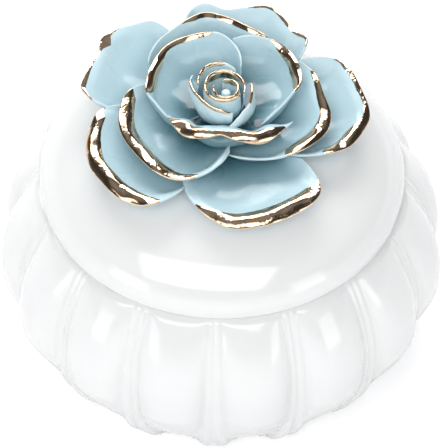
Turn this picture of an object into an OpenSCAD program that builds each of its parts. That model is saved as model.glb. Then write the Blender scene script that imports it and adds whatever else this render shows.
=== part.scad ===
// Porcelain trinket box: a fluted round bowl, a domed lift-off lid and a hand-built
// rose on the lid. All sizes are in millimetres. The box stands on z = 0 and its
// upright axis is the Z axis. The front of the box faces -Y.

/* [Bowl] */
// Width across the fattest part of the lobes
bowl_width = 110; // [95:1:135]
// Height of the bowl's top edge above the table
bowl_height = 51; // [40:1:65]
// Radius of the hollows between the toes at the foot
foot_lobe_radius = 40.8; // [38:0.2:44]
// Radius to the outside of the toes at the foot
foot_toe_radius = 43.8; // [40:0.2:46]
// Width of the flat top edge, from the mouth out to the lobes
seat_width = 6.6; // [5.8:0.1:8]
// Number of fat lobes round the bowl
lobes = 16; // [12:1:20]
// How far the rib lies inside the lobe at the fattest part
rib_depth = 2.7; // [2:0.1:5]
// How deep the valley beside each rib goes below the rib
valley_depth = 0.9; // [0.5:0.1:2]
// Half the width of a rib at the top edge
rib_half_width_top = 1.7; // [1:0.1:2.5]
// Half the width of a rib at the foot, where it widens to a toe
rib_half_width_foot = 3.6; // [2:0.1:4.5]
// Depth of the fine groove down the middle of each rib
rib_groove = 0.5; // [0.1:0.05:0.8]
// Least thickness of the bowl's side wall
bowl_wall = 3.4; // [2.5:0.1:5]
// Thickness of the bowl's floor above the foot recess
floor_thickness = 3.6; // [2.5:0.1:5]
// Radius of the round mouth that the lid drops into
mouth_radius = 38; // [34:0.2:39]
// Depth of the straight part of the mouth
mouth_depth = 4.5; // [3.5:0.1:8]
// Depth of the recess inside the foot ring
foot_recess = 1.4; // [0.8:0.1:2]
// Width of the foot ring that the bowl stands on
foot_ring_width = 4; // [3:0.1:6]

/* [Lid] */
// How far the lid's rim reaches out past the mouth
rim_overlap = 5.7; // [4.5:0.1:6.5]
// Height of the upright rim band
rim_height = 2; // [1.5:0.1:3]
// Rise of the dome above the rim band
dome_rise = 15.9; // [12:0.1:20]
// Thickness of the dome
lid_wall = 3; // [2.4:0.1:4]
// Radius of the soft edge round the bottom of the rim
rim_round = 0.7; // [0.4:0.1:1]
// Depth of the locating ring below the rim
locating_depth = 3.6; // [2.5:0.1:4]
// Thickness of the locating ring
locating_wall = 2.6; // [2:0.1:3.5]
// Gap all round between the locating ring and the mouth
locating_gap = 0.8; // [0.5:0.05:1.2]
// Height of the film of air and glaze between the rim and the bowl's top edge
seat_gap = 0.3; // [0.3:0.05:0.5]

/* [Rose] */
// Radius of the clay pad that carries the petals
pad_radius = 7.4; // [7:0.1:9]
// Radius of the pad's top, under the bud
pad_top_radius = 5; // [4:0.1:5.5]
// Height of the pad above the dome
pad_height = 6.4; // [6:0.1:6.8]
// Thickness of a petal
petal_thickness = 1.1; // [0.9:0.05:1.4]
// Thickness of a petal at its pinched rim
rim_thickness = 0.6; // [0.4:0.05:0.9]
// Thickness of the thin petals wrapped round the bud
bud_thickness = 0.8; // [0.7:0.05:1]
// Thickness of the rolled petals inside the bud
scroll_thickness = 0.75; // [0.6:0.05:0.9]
// Height of the rolled clay core in the middle of the bud
core_height = 11.6; // [10:0.1:12.5]
// Radius of the core
core_radius = 1.1; // [0.8:0.1:1.2]

/* [Hidden] */
porcelain = [0.95, 0.95, 0.94];
blue_glaze = [0.66, 0.80, 0.84];
round_fn = 128;
overcut = 1;

// Bowl, derived
lobe_radius = bowl_width / 2;
rib_radius = lobe_radius - rib_depth;
shoulder_radius = mouth_radius + seat_width;
belly_height = 0.48 * bowl_height;
rib_toe_drop = 2.2;
lobe_foot_power = 1.4;
lobe_top_power = 2.5;
rib_top_power = 2.3;
flute_power = 2.4;
blend_width = 0.6;
bowl_rows = 13;
// Places across one flute, from the middle of a rib (0) to the middle of a lobe (1),
// in half widths of the rib and then in shares of what is left
rib_columns = [0, 0.35, 0.75, 1.1];
lobe_columns = [0.15, 0.4, 0.7];
cavity_steps = 12;

// Lid, derived
lid_radius = mouth_radius + rim_overlap;
lid_base = bowl_height + seat_gap;
dome_base = lid_base + rim_height;
dome_top = dome_base + dome_rise;
dome_power = 2.4;
dome_root = 1 / 1.9;
dome_steps = 16;
// The pad stands on a small flat, a hair below the top of the dome
pad_seat = dome_top - 0.25;

// ---------------------------------------------------------------- shared functions
function mix(a, b, t) = a + (b - a) * t;
function clamp(x, low, high) = min(max(x, low), high);
// Smooth maximum of two lengths, blended over about w
function soft_max(a, b, w) =
    let (h = clamp(0.5 + 0.5 * (a - b) / w, 0, 1)) mix(b, a, h) + w * h * (1 - h);

// Smooth curve through a list of points, t from 0 to 1
function spline(points, t) =
    let (
        last = len(points) - 1,
        i = min(floor(t * last), last - 1),
        f = t * last - i,
        a = points[max(i - 1, 0)],
        b = points[i],
        c = points[i + 1],
        d = points[min(i + 2, last)]
    )
    0.5 * (2 * b + (c - a) * f + (2 * a - 5 * b + 4 * c - d) * f * f
        + (3 * b - a - 3 * c + d) * f * f * f);

// ---------------------------------------------------------------- bowl
// Outline of a lobe and of a rib from the foot (z = 0) to the top edge
function flank(foot, belly, top, z, foot_power, top_power) =
    z < belly_height
        ? belly - (belly - foot) * pow(1 - z / belly_height, foot_power)
        : belly - (belly - top) * pow((z - belly_height) / (bowl_height - belly_height), top_power);
function lobe_line(z) =
    flank(foot_lobe_radius, lobe_radius, shoulder_radius, z, lobe_foot_power, lobe_top_power);
function rib_line(z) =
    flank(foot_toe_radius, rib_radius, shoulder_radius - 0.3, z, rib_toe_drop, rib_top_power);
function rib_half_width(z) =
    mix(rib_half_width_top, rib_half_width_foot, pow(1 - z / bowl_height, 1.3));

// Radius of the bowl at height z, x millimetres along the wall from the middle of a rib
function fluted_radius(x, half_pitch, z) =
    let (
        rib = rib_line(z),
        width = rib_half_width(z),
        valley = rib - valley_depth,
        share = clamp((x - 0.8 * width) / (half_pitch - 0.8 * width), 0, 1),
        swell = pow(max(1 - pow(1 - share, flute_power), 0), 0.65),
        lobe = valley + (lobe_line(z) - valley) * swell,
        groove = rib_groove * exp(-pow(x / (0.35 * width), 2)),
        bead = rib - groove - valley_depth * pow(x / width, 4)
    )
    x > 1.6 * width ? lobe : soft_max(lobe, max(bead, valley - 1), blend_width);

// Places of the columns across half a flute, in millimetres from the middle of the rib
function half_flute(z, half_pitch) =
    let (edge = rib_columns[len(rib_columns) - 1] * rib_half_width(z))
    concat(
        [for (c = rib_columns) c * rib_half_width(z)],
        [for (c = lobe_columns) mix(edge, half_pitch, c)]
    );
// One whole flute, as angles from the middle of its rib and the radius there
function flute(z) =
    let (
        half_angle = 180 / lobes,
        half_pitch = PI * rib_line(z) / lobes,
        places = half_flute(z, half_pitch),
        n = len(places),
        right = [for (x = places) [half_angle * x / half_pitch, fluted_radius(x, half_pitch, z)]],
        middle = [[half_angle, fluted_radius(half_pitch, half_pitch, z)]],
        left = [for (i = [n - 1 : -1 : 1]) [2 * half_angle - right[i][0], right[i][1]]]
    )
    concat(right, middle, left);
function bowl_ring(z) =
    [for (k = [0 : lobes - 1]) for (p = flute(z))
        let (angle = p[0] + k * 360 / lobes - 90)
        [p[1] * cos(angle), p[1] * sin(angle), z]];

// Closed skin round a stack of rings that all have n points, with two flat ends that
// each meet in a point in the middle
function stack_faces(n, rings) = [
    for (i = [0 : n - 1])
        let (j = (i + 1) % n, top = (rings - 1) * n)
        each concat(
            [[rings * n, i, j], [rings * n + 1, top + j, top + i]],
            [for (r = [0 : rings - 2]) each [
                [r * n + i, (r + 1) * n + i, (r + 1) * n + j],
                [r * n + i, (r + 1) * n + j, r * n + j]
            ]]
        )
];

// Rows lie closer together at the foot and at the shoulder
function row_height(r) =
    let (t = r / bowl_rows) bowl_height * (t - 0.12 * sin(360 * t) / 2);

module fluted_body() {
    rings = [for (r = [0 : bowl_rows]) bowl_ring(row_height(r))];
    n = len(rings[0]);
    middles = [[0, 0, 0], [0, 0, bowl_height]];
    polyhedron(
        points = concat([for (ring = rings) each ring], middles),
        faces = stack_faces(n, len(rings))
    );
}

// Inside of the bowl: the deepest line of the flutes less the wall, up to the mouth
function cavity_radius(z) =
    min(rib_line(z) - valley_depth, lobe_line(z)) - bowl_wall;
cavity_floor = foot_recess + floor_thickness;
cavity_top = bowl_height - mouth_depth - 2;
corner_rise = 6;

module bowl_cavity() {
    side = [for (i = [0 : cavity_steps])
        let (z = mix(cavity_floor + corner_rise, cavity_top, i / cavity_steps))
        [min(cavity_radius(z), mix(cavity_radius(z), mouth_radius, pow(i / cavity_steps, 6))), z]];
    first = side[0];
    corner = [for (a = [0 : 15 : 75])
        [first[0] - corner_rise + corner_rise * sin(a),
         first[1] - corner_rise * cos(a)]];
    rotate_extrude($fn = round_fn)
        polygon(concat(
            [[0, cavity_floor]],
            corner,
            side,
            [[mouth_radius, bowl_height - mouth_depth],
             [mouth_radius, bowl_height + overcut],
             [0, bowl_height + overcut]]
        ));
}

module foot_hollow() {
    radius = foot_lobe_radius - foot_ring_width;
    translate([0, 0, -overcut])
        cylinder(h = foot_recess + overcut, r = radius, $fn = round_fn);
}

module bowl() {
    color(porcelain)
        difference() {
            fluted_body();
            bowl_cavity();
            foot_hollow();
        }
}

// ---------------------------------------------------------------- lid
// Height of the dome at radius r, for a dome of the given width and rise
function dome_height(r, width, rise) =
    rise * pow(max(1 - pow(r / width, dome_power), 0), dome_root);
// Radii that crowd together towards the edge, where the dome turns down
function dome_radius(i, width) = width * sin(90 * i / dome_steps);
// How far the dome has fallen below its top at radius r
function dome_fall(r) = dome_rise - dome_height(min(r, lid_radius), lid_radius, dome_rise);

module lid() {
    ring_outer = mouth_radius - locating_gap;
    ring_inner = ring_outer - locating_wall;
    hollow_rise = dome_rise - lid_wall + rim_height;
    outside = [for (i = [0 : dome_steps])
        let (r = dome_radius(i, lid_radius))
        [r, min(dome_base + dome_height(r, lid_radius, dome_rise), pad_seat)]];
    rim = [for (a = [0 : 30 : 90])
        [lid_radius - rim_round + rim_round * cos(a), lid_base + rim_round - rim_round * sin(a)]];
    inside = [for (i = [dome_steps : -1 : 0])
        let (r = dome_radius(i, ring_inner))
        [r, lid_base + dome_height(r, ring_inner, hollow_rise)]];
    color(porcelain)
        rotate_extrude($fn = round_fn)
            polygon(concat(
                outside,
                rim,
                [[ring_outer, lid_base],
                 [ring_outer, lid_base - locating_depth + 0.6],
                 [ring_outer - 0.6, lid_base - locating_depth],
                 [ring_inner, lid_base - locating_depth]],
                inside
            ));
}

// ---------------------------------------------------------------- rose
// A petal is drawn by its rim. Each place on the rim is
//   [direction in degrees, distance from the rose's axis, height above the dome there, curl],
// where curl is how many degrees the lip turns over, outward and down.
// A petal leaves the pad at root = [radius, height above the dome's top], rises at the
// leave angle, reaches its lip at the arrive angle, and the lip is lip millimetres long.
petal_columns = 15;
petal_rows = 6;
lip_rows = 4;
bend = 0.38;
// Heights above the dome at which each tier of petals leaves the pad, one on another
outer_root = petal_thickness + 0.8;
middle_root = outer_root + petal_thickness + 0.7;
inner_root = middle_root + petal_thickness + 0.1;
bud_root = pad_height - 0.6;
scroll_root = pad_height - 0.3;

function petal(root, leave, arrive, lip, rim, centre = [0, 0]) =
    [root, leave, arrive, lip, rim, centre];

// One cut through the petal from the pad to the lip, as [radius, height] points
function petal_cut(p, place) =
    let (
        root = p[0],
        leave = [cos(p[1]), sin(p[1])],
        arrive = [cos(p[2]), sin(p[2])],
        step = p[3] / lip_rows,
        turns = [for (k = [1 : lip_rows]) p[2] - place[3] * (k - 0.5) / lip_rows],
        lip = [for (k = [0 : lip_rows])
            k == 0 ? [0, 0] :
            step * [for (axis = [0, 1])
                [for (j = [0 : k - 1]) axis == 0 ? cos(turns[j]) : sin(turns[j])]
                    * [for (j = [0 : k - 1]) 1]]],
        reach = max([for (q = lip) q[0]]),
        crest = max([for (q = lip) q[1]]),
        edge = [place[1] - reach, place[2] - dome_fall(place[1]) - crest],
        pull = bend * norm(edge - root),
        b = root + pull * leave,
        c = edge - pull * arrive,
        blade = [for (k = [0 : petal_rows])
            let (v = k / petal_rows, w = 1 - v)
            w * w * w * root + 3 * w * w * v * b + 3 * w * v * v * c + v * v * v * edge]
    )
    concat(blade, [for (k = [1 : lip_rows]) edge + lip[k]]);

// The petal's upper face as a grid of points, one column for each direction
function petal_grid(p, columns) =
    [for (i = [0 : columns])
        let (place = spline(p[4], i / columns))
        [for (q = petal_cut(p, place))
            [p[5][0] + q[0] * cos(place[0]), p[5][1] + q[0] * sin(place[0]), q[1]]]];

function unit(v) = v / norm(v);
function grid_normal(g, i, j) =
    let (
        m = len(g) - 1,
        n = len(g[0]) - 1,
        along = g[min(i + 1, m)][j] - g[max(i - 1, 0)][j],
        out = g[i][min(j + 1, n)] - g[i][max(j - 1, 0)]
    )
    unit(cross(along, out));

// A sheet of clay whose upper face is the grid and whose lower face lies a thickness
// under it, thinning to the pinched rim
module clay_sheet(g, thickness, edge_thickness) {
    m = len(g);
    n = len(g[0]);
    under = [for (i = [0 : m - 1]) [for (j = [0 : n - 1])
        g[i][j] + grid_normal(g, i, j) * mix(thickness, edge_thickness, pow(j / (n - 1), 3))]];
    size = m * n;
    faces = concat(
        [for (i = [0 : m - 2]) for (j = [0 : n - 2])
            let (a = i * n + j, b = a + n)
            each [
                [a, b, b + 1], [a, b + 1, a + 1],
                [size + a, size + b + 1, size + b], [size + a, size + a + 1, size + b + 1]
            ]],
        [for (i = [0 : m - 2])
            let (a = i * n, b = a + n, c = a + n - 1, d = c + n)
            each [
                [a, size + a, size + b], [a, size + b, b],
                [c, d, size + d], [c, size + d, size + c]
            ]],
        [for (j = [0 : n - 2])
            let (a = j, b = (m - 1) * n + j)
            each [
                [a, a + 1, size + a + 1], [a, size + a + 1, size + a],
                [b, size + b, size + b + 1], [b, size + b + 1, b + 1]
            ]]
    );
    polyhedron(
        points = concat([for (row = g) each row], [for (row = under) each row]),
        faces = faces
    );
}

module rose_petal(p, columns = petal_columns) {
    color(blue_glaze)
        translate([0, 0, dome_top])
            clay_sheet(petal_grid(p, columns), petal_thickness, rim_thickness);
}

// Clay pad: a low cone with a rounded shoulder, stuck to the top of the dome
module rose_base() {
    foot = pad_seat - dome_top;
    color(blue_glaze)
        translate([0, 0, dome_top])
            rotate_extrude($fn = 64)
                polygon([
                    [0, foot], [pad_radius, foot], [pad_radius, 0.9],
                    [mix(pad_radius, pad_top_radius, 0.45), 3],
                    [pad_top_radius, pad_height - 0.8],
                    [pad_top_radius - 0.8, pad_height], [0, pad_height]
                ]);
}

// The five outer petals, from the right-hand one round by the back
module outer_petal_1() {
    rose_petal(petal([6, outer_root], 3, 35, 2.6, [
        [-37, 19, 4.4, 10], [-21, 28, 6.4, 50], [-12, 31.5, 7.7, 90], [0, 34, 9.1, 90], [6, 34, 9.6, 70],
        [16, 33, 10, 50], [26, 32.5, 10.3, 30], [34, 30, 9.8, 20], [42, 24, 8.1, 10]
    ]));
}
module outer_petal_2() {
    rose_petal(petal([6, outer_root], 5, 40, 2.4, [
        [44, 24, 8.1, 0], [49, 29, 10.5, 10], [57, 29, 11, 20], [65, 31, 12.2, 30], [73, 33, 13, 30],
        [82, 31, 12.2, 20], [91, 30, 11.8, 10], [100, 32, 12.6, 0], [107, 31, 11.2, 0], [112, 26, 8.1, 0]
    ]));
}
module outer_petal_3() {
    rose_petal(petal([6, outer_root], 7, 35, 2.4, [
        [118, 26, 8.1, 0], [124, 31.6, 11.4, 10], [133, 33.6, 12.2, 20], [142, 36, 13, 50],
        [152, 35, 11.9, 50], [162, 34, 10.9, 50], [170, 33.5, 9.7, 40], [174, 30, 7.4, 10], [178, 25, 5.6, 0]
    ]));
}
module outer_petal_4() {
    rose_petal(petal([6, outer_root], 2, 28, 2.8, [
        [178, 23, 6.4, 0], [181, 28, 7.7, 30], [190, 31, 8.2, 90], [203, 33.4, 8.7, 100],
        [217, 33.6, 8, 100], [233, 32.8, 7.1, 90], [242, 30, 6.2, 40], [250, 24, 5.2, 10]
    ]));
}
module outer_petal_5() {
    rose_petal(petal([6, outer_root], -2, 20, 2.6, [
        [246, 20, 3.8, 0], [254, 24.4, 4.4, 10], [264, 28.6, 5.1, 50], [275, 31.8, 6.1, 90],
        [288, 32.3, 6.2, 90], [300, 32.3, 6.3, 90], [312, 32, 6.4, 80], [320, 29.8, 5.7, 30],
        [327, 22, 4.1, 0]
    ]));
}

// The three middle petals
module middle_petal_1() {
    rose_petal(petal([5.6, middle_root], 9, 42, 2.6, [
        [-82, 13, 4.9, 0], [-60, 16.5, 5.5, 0], [-40, 20.5, 6.6, 30], [-26, 23, 7.5, 90],
        [-12, 25, 8.1, 100], [0, 25, 8.3, 90], [12, 23.5, 8.8, 60], [24, 23.5, 9.5, 30], [38, 22, 9.7, 0]
    ]));
}
module middle_petal_2() {
    rose_petal(petal([5.6, middle_root], 6, 60, 2, [
        [56, 20, 10.3, 0], [65, 22, 11.2, 30], [77, 23, 11.9, 40], [88, 25, 12.3, 50], [99, 27, 12.9, 50],
        [108, 26.6, 12.6, 40], [120, 24.8, 11.6, 20], [134, 23.2, 10.9, 0], [147, 21, 9.5, 0]
    ]));
}
module middle_petal_3() {
    rose_petal(petal([5.6, middle_root], 2, 52, 2.8, [
        [162, 18, 8, 0], [171, 21.5, 9.1, 30], [184, 23.5, 9, 90], [200, 24.5, 8.7, 100],
        [217, 24, 7.7, 100], [235, 24.2, 7.2, 90], [250, 22.8, 6.5, 60], [262, 19.4, 5.8, 40],
        [277, 14.4, 5.4, 0]
    ]));
}

// The three inner petals that make the cup round the bud
module inner_petal_1() {
    rose_petal(petal([4.6, inner_root], 0, 70, 1.8, [
        [-28, 10, 6.2, 0], [-6, 12.6, 7.8, 0], [8, 16, 9.8, 20], [16, 18.5, 11.1, 70], [30, 20, 11.8, 90],
        [44, 20.5, 12.4, 70], [56, 19.7, 12.8, 30], [70, 18.6, 13.1, 0], [88, 18.8, 13.1, 0]
    ]));
}
module inner_petal_2() {
    rose_petal(petal([4.6, inner_root], 0, 72, 1.8, [
        [66, 9, 11.2, 0], [80, 14, 12.1, 0], [92, 17, 12.9, 0], [103, 18.5, 13.1, 30],
        [116, 19, 12.7, 50], [130, 20, 12.1, 60], [146, 19.5, 11.3, 90], [162, 18.5, 10.6, 90],
        [174, 17.5, 10, 30], [184, 15, 8.1, 0], [200, 12.2, 6.4, 0]
    ]));
}
module inner_petal_3() {
    rose_petal(petal([4.6, inner_root], -5, 68, 5.6, [
        [200, 12.6, 8, 20], [212, 13.5, 9.3, 100], [232, 14, 9.8, 150], [254, 12.6, 9.9, 120],
        [272, 12, 9.9, 110], [290, 13.4, 9.9, 130], [308, 15.4, 9.7, 150], [324, 16.2, 9.6, 110],
        [341, 17, 8.9, 20]
    ]));
}

// The bud: three petals wrapped round two rolled sheets and a core
module bud_petal_1() {
    bud_petal(petal([5, bud_root], 60, 100, 0.7, [
        [150, 7.9, 12.3, 0], [166, 7.4, 12.4, 20], [190, 6.2, 12.1, 40], [220, 5.6, 12.1, 40],
        [250, 6, 12.1, 40], [275, 6.8, 12.1, 20], [290, 7.2, 11.4, 0]
    ]));
}
module bud_petal_2() {
    bud_petal(petal([6.1, bud_root], 50, 95, 0.7, [
        [272, 9, 7.8, 0], [290, 8.6, 10, 0], [308, 8, 11.7, 0], [330, 7.4, 12.7, 40],
        [350, 6.6, 13.3, 40], [368, 6.2, 13.3, 0]
    ]));
}
module bud_petal_3() {
    bud_petal(petal([4.9, bud_root], 60, 95, 0.7, [
        [64, 5.9, 12.7, 0], [90, 6.8, 13.3, 40], [118, 7, 13.5, 60], [140, 6.4, 13.4, 60],
        [158, 5.8, 13.1, 40], [172, 5.3, 12.7, 0]
    ]));
}

module bud_petal(p) {
    color(blue_glaze)
        translate([0, 0, dome_top])
            clay_sheet(petal_grid(p, petal_columns), bud_thickness, rim_thickness);
}
module rolled_sheet(p, columns) {
    color(blue_glaze)
        translate([0, 0, dome_top])
            clay_sheet(petal_grid(p, columns), scroll_thickness, scroll_thickness * 0.7);
}
module bud_scroll_outer() {
    rolled_sheet(petal([3.4, scroll_root], 68, 95, 0.7, [
        [-20, 4.5, 13, 60], [20, 4.4, 13.2, 70], [60, 4.4, 13.3, 70], [100, 4.5, 13.5, 70],
        [140, 4.5, 13.4, 60], [180, 4.4, 13.2, 60], [220, 4.4, 13, 70], [260, 4.3, 13, 70],
        [300, 4.2, 13, 60], [330, 4.1, 13, 40]
    ], [0.5, 0]), 22);
}
module bud_scroll_inner() {
    rolled_sheet(petal([1.9, scroll_root], 76, 95, 0.5, [
        [160, 2.7, 12.8, 40], [200, 2.7, 12.8, 40], [240, 2.6, 12.6, 40], [280, 2.6, 12.6, 40],
        [320, 2.6, 12.7, 40], [360, 2.5, 12.9, 40], [400, 2.5, 13, 50], [440, 2.4, 13, 50],
        [470, 2.2, 12.9, 30]
    ], [0.8, -0.3]), 20);
}
module bud_core() {
    color(blue_glaze)
        translate([0.8, -0.4, dome_top])
            rotate_extrude($fn = 32)
                polygon([
                    [0, pad_height], [core_radius + 0.3, pad_height],
                    [core_radius, core_height - 0.6], [core_radius - 0.5, core_height],
                    [0, core_height]
                ]);
}

bowl();
lid();
rose_base();
outer_petal_1();
outer_petal_2();
outer_petal_3();
outer_petal_4();
outer_petal_5();
middle_petal_1();
middle_petal_2();
middle_petal_3();
inner_petal_1();
inner_petal_2();
inner_petal_3();
bud_petal_1();
bud_petal_2();
bud_petal_3();
bud_scroll_outer();
bud_scroll_inner();
bud_core();
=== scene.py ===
import math

import bpy
import numpy as np
from mathutils import Matrix, Vector


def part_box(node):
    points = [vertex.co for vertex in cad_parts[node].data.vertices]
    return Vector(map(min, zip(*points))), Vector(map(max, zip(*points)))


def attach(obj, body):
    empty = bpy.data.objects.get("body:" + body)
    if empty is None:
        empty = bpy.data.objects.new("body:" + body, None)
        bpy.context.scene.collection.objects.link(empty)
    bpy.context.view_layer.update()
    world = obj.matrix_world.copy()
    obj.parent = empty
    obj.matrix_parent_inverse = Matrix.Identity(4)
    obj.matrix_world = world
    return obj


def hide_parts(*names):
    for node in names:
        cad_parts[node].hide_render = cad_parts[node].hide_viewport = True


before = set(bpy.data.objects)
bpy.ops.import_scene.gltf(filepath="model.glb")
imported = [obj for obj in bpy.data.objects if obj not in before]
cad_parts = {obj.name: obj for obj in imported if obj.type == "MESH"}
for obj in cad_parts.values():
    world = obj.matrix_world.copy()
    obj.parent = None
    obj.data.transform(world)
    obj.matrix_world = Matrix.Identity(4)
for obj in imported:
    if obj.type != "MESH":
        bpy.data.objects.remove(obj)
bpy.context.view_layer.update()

# ---------------------------------------------------------------- table, light and camera
# The box stands on a white table that burns out to plain white, in even white light. One
# wide soft box hangs over the front, one over the back, and two small ones stand low in
# front. The gloss shows a dark room over a bright horizon, which darkens parts of the gold.
MM = 0.001
scene = bpy.context.scene
stand_centre = (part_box("bowl")[0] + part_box("bowl")[1]) / 2
table_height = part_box("bowl")[0].z
camera_place = Vector((10.3, -321.5, 419.5)) * MM
camera_target = Vector((0.61, 0.02, 32.8)) * MM
camera_roll = math.radians(0.55)
camera_angle = math.radians(12.58)
tent_strength = 3.0
tent_white = (0.168, 0.169, 0.171, 1)
backdrop_white = (0.35, 0.35, 0.35, 1)
gloss_room = ((0.0, 0.30), (0.08, 0.26), (0.20, 0.04), (0.55, 0.010), (0.85, 0.012), (1.0, 0.08))
paper_dark = (0.86, 0.86, 0.87, 1)
paper_light = (0.88, 0.88, 0.885, 1)
paper_grain = 900
table_roughness = 0.8
table_glow = 0.04
table_burn_out = 0.28
table_half_width = 4.0


def place_camera():
    data = bpy.data.cameras.new("camera")
    data.sensor_width = 36
    data.angle = camera_angle
    data.clip_start = 0.01
    camera = bpy.data.objects.new("camera", data)
    aim = (camera_target - camera_place).to_track_quat("-Z", "Y").to_matrix().to_4x4()
    roll = Matrix.Rotation(camera_roll, 4, "Z")
    camera.matrix_world = Matrix.Translation(camera_place) @ aim @ roll
    scene.collection.objects.link(camera)
    scene.camera = camera


def add_node(tree, kind, label="", **settings):
    node = tree.nodes.new(kind)
    if label:
        node.label = label
    for name, value in settings.items():
        if name in node.inputs:
            node.inputs[name].default_value = value
        else:
            setattr(node, name, value)
    return node


def soft_box(name, place, size, power):
    data = bpy.data.lights.new(name, "AREA")
    data.shape = "RECTANGLE"
    data.size, data.size_y = size
    data.energy = power
    light = bpy.data.objects.new(name, data)
    light.matrix_world = Matrix.Translation(place) @ (
        (stand_centre - Vector(place)).to_track_quat("-Z", "Y").to_matrix().to_4x4()
    )
    scene.collection.objects.link(light)


def white_tent():
    """Even white light all round; the gloss and the camera each see it in their own way."""
    world = bpy.data.worlds.new("white_tent")
    scene.world = world
    world.use_nodes = True
    tree = world.node_tree
    tree.nodes.clear()
    direction = add_node(tree, "ShaderNodeTexCoord")
    split = add_node(tree, "ShaderNodeSeparateXYZ")
    tree.links.new(direction.outputs["Generated"], split.inputs[0])
    room = add_node(tree, "ShaderNodeValToRGB", "horizon to ceiling")
    tree.links.new(split.outputs["Z"], room.inputs["Fac"])
    while len(room.color_ramp.elements) < len(gloss_room):
        room.color_ramp.elements.new(0.5)
    for stop, (height, level) in zip(room.color_ramp.elements, gloss_room):
        stop.position = height
        stop.color = (level, level, level, 1)
    seen = add_node(tree, "ShaderNodeLightPath")
    mirrored = add_node(tree, "ShaderNodeMix", "what the gloss shows", data_type="RGBA")
    tree.links.new(seen.outputs["Is Glossy Ray"], mirrored.inputs[0])
    mirrored.inputs[6].default_value = tent_white
    tree.links.new(room.outputs["Color"], mirrored.inputs[7])
    plain = add_node(tree, "ShaderNodeMix", "plain white to the camera", data_type="RGBA")
    tree.links.new(seen.outputs["Is Camera Ray"], plain.inputs[0])
    tree.links.new(mirrored.outputs[2], plain.inputs[6])
    plain.inputs[7].default_value = backdrop_white
    cloth = add_node(tree, "ShaderNodeBackground", Strength=tent_strength)
    tree.links.new(plain.outputs[2], cloth.inputs["Color"])
    out = add_node(tree, "ShaderNodeOutputWorld")
    tree.links.new(cloth.outputs[0], out.inputs["Surface"])


def table_top():
    material = bpy.data.materials.new("table_white")
    material.use_nodes = True
    tree = material.node_tree
    paint = tree.nodes["Principled BSDF"]
    grain = add_node(tree, "ShaderNodeTexNoise", "paper grain", Scale=paper_grain, Detail=3)
    spot = add_node(tree, "ShaderNodeTexCoord")
    tree.links.new(spot.outputs["Object"], grain.inputs["Vector"])
    tone = add_node(tree, "ShaderNodeMix", "paper white", data_type="RGBA")
    tree.links.new(grain.outputs["Fac"], tone.inputs[0])
    tone.inputs[6].default_value = paper_dark
    tone.inputs[7].default_value = paper_light
    tree.links.new(tone.outputs[2], paint.inputs["Base Color"])
    paint.inputs["Roughness"].default_value = table_roughness
    paint.inputs["Emission Color"].default_value = (1, 1, 1, 1)
    seen = add_node(tree, "ShaderNodeLightPath")
    lift = add_node(tree, "ShaderNodeMath", "burnt out to the camera", operation="MULTIPLY_ADD")
    tree.links.new(seen.outputs["Is Camera Ray"], lift.inputs[0])
    lift.inputs[1].default_value = table_burn_out
    lift.inputs[2].default_value = table_glow
    tree.links.new(lift.outputs[0], paint.inputs["Emission Strength"])
    half = table_half_width
    mesh = bpy.data.meshes.new("table_top")
    corners = [(-half, -half), (half, -half), (half, half), (-half, half)]
    mesh.from_pydata([(x, y, table_height) for x, y in corners], [], [(0, 1, 2, 3)])
    mesh.materials.append(material)
    top = bpy.data.objects.new("table_top", mesh)
    scene.collection.objects.link(top)


place_camera()
white_tent()
table_top()
soft_box("soft_box_above", (-0.10, -0.66, 0.80), (1.15, 0.60), 4.6)
soft_box("soft_box_behind", (-0.12, 0.60, 0.70), (0.70, 0.36), 4.6)
soft_box("soft_box_front_left", (-0.58, -0.55, 0.12), (0.30, 0.40), 0.50)
soft_box("soft_box_front_right", (0.58, -0.52, 0.14), (0.26, 0.40), 0.46)
scene.view_settings.view_transform = "Standard"

# ---------------------------------------------------------------- bowl
# A slip-cast porcelain bowl with sixteen fat lobes and a beaded rib between each pair,
# glazed all over and wiped bare on the foot ring, which is what it stands on in the kiln.
bowl_low, bowl_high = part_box("bowl")
bowl_height = (bowl_high.z - bowl_low.z) / MM
lobes = 16
lobe_radius = 55.0
rib_depth = 2.7
valley_depth = 0.9
rib_half_width_top = 1.7
rib_half_width_foot = 3.6
rib_groove = 0.5
glaze_fill = 0.6
foot_lobe_radius = 40.8
foot_toe_radius = 43.8
shoulder_radius = 44.6
mouth_radius = 38.0
mouth_depth = 4.5
bowl_wall = 3.4
cavity_floor = 5.0
cavity_corner = 6.0
foot_recess = 1.4
foot_ring_width = 4.0
belly_height = 0.48 * bowl_height
lobe_powers = (1.4, 2.5)
rib_powers = (2.2, 2.3)
rib_taper = 1.3
rib_fall_at_top = 0.3
lobe_start = 0.8
lobe_power = 2.4
lobe_fullness = 0.65
groove_share = 0.35
bead_reach = 1.6
cavity_neck_power = 6
foot_round = 0.45
foot_round_height = 0.6
shoulder_round = 0.5
shoulder_round_height = 0.7
flute_columns = 16
column_crowding = 1.5
bowl_rows = 96
row_crowding = 0.10
cavity_rows = 30
glaze_cool = (0.895, 0.905, 0.905)
glaze_warm = (0.925, 0.925, 0.92)
pinhole_brown = (0.55, 0.52, 0.48)
biscuit_dark = (0.78, 0.74, 0.67)
biscuit_light = (0.86, 0.83, 0.77)


def ease(x):
    x = np.clip(x, 0, 1)
    return x * x * (3 - 2 * x)


def flank(z, foot, belly, top, foot_power, top_power):
    below = np.clip(1 - z / belly_height, 0, 1)
    above = np.clip((z - belly_height) / (bowl_height - belly_height), 0, 1)
    return np.where(
        z < belly_height,
        belly - (belly - foot) * below**foot_power,
        belly - (belly - top) * above**top_power,
    )


def lobe_line(z):
    return flank(z, foot_lobe_radius, lobe_radius, shoulder_radius, *lobe_powers)


def rib_line(z):
    top = shoulder_radius - rib_fall_at_top
    return flank(z, foot_toe_radius, lobe_radius - rib_depth, top, *rib_powers)


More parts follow.
